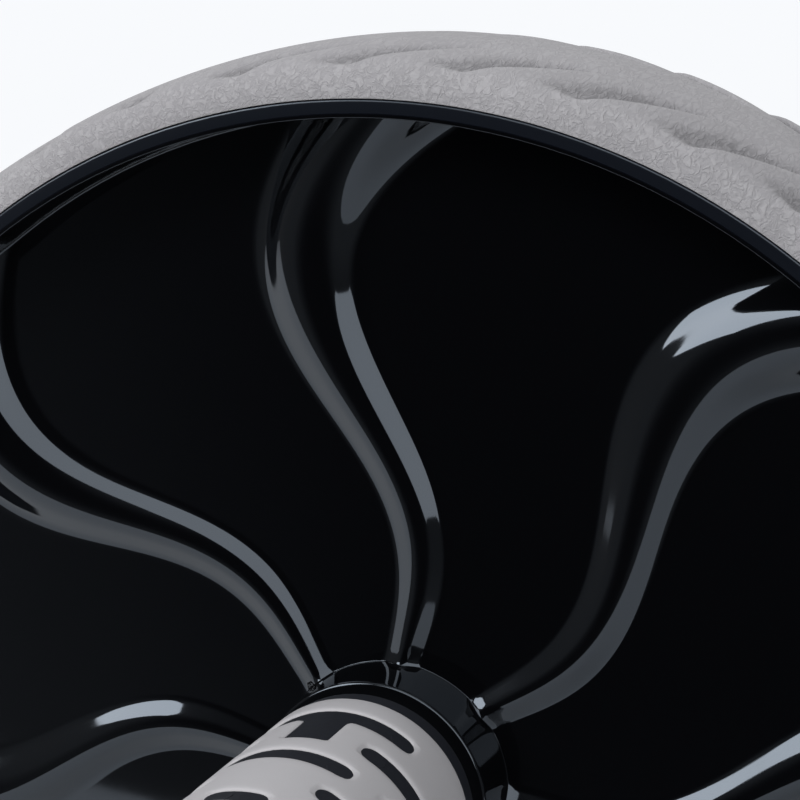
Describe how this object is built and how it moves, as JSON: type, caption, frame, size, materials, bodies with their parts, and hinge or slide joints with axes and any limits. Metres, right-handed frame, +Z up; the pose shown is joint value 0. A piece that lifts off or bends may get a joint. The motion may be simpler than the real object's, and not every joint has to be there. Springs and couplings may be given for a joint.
{
  "type": "ab wheel roller",
  "caption": "Hand-held exercise roller: a wide rubber-tyred wheel with S-shaped ribs that spins freely on a steel axle between two slotted rubber grips.",
  "frame": {"origin": "centre of the wheel, on the axle's line, half way between the two end faces", "axes": "+Y along the axle towards the user's left hand, +X the way it rolls, +Z up"},
  "size_m": [0.19, 0.3146, 0.19],
  "materials": {
    "tread_rubber": "matte moulded grey rubber with a leather-like grain",
    "grip_rubber": "smooth satin grey rubber",
    "wheel_gloss_black": "high gloss black moulded plastic",
    "core_black": "satin black moulded plastic",
    "bush_acetal": "natural white low-friction plastic",
    "axle_steel": "drawn bright steel bar",
    "spring_steel": "blackened spring steel",
    "zinc_plated_steel": "bright zinc plate"
  },
  "bodies": {
    "handles": {"axle": "axle_steel", "right_thrust_washer": "bush_acetal", "right_retaining_ring": "spring_steel", "right_handle_core": "core_black", "right_grip": "grip_rubber", "right_screw_washer": "zinc_plated_steel", "right_axle_screw": "zinc_plated_steel", "right_end_cap": "core_black", "left_thrust_washer": "bush_acetal", "left_retaining_ring": "spring_steel", "left_handle_core": "core_black", "left_grip": "grip_rubber", "left_screw_washer": "zinc_plated_steel", "left_axle_screw": "zinc_plated_steel", "left_end_cap": "core_black"},
    "wheel": {"tyre": "tread_rubber", "left_shell": "wheel_gloss_black", "right_shell": "wheel_gloss_black", "shell_screws": "zinc_plated_steel", "left_bush": "bush_acetal", "right_bush": "bush_acetal"}
  },
  "joints": [
    {"name": "wheel_spin", "type": "hinge", "parent": "handles", "child": "wheel", "pos_m": [0, 0, 0], "axis": [0, 1, 0], "continuous": true}
  ]
}
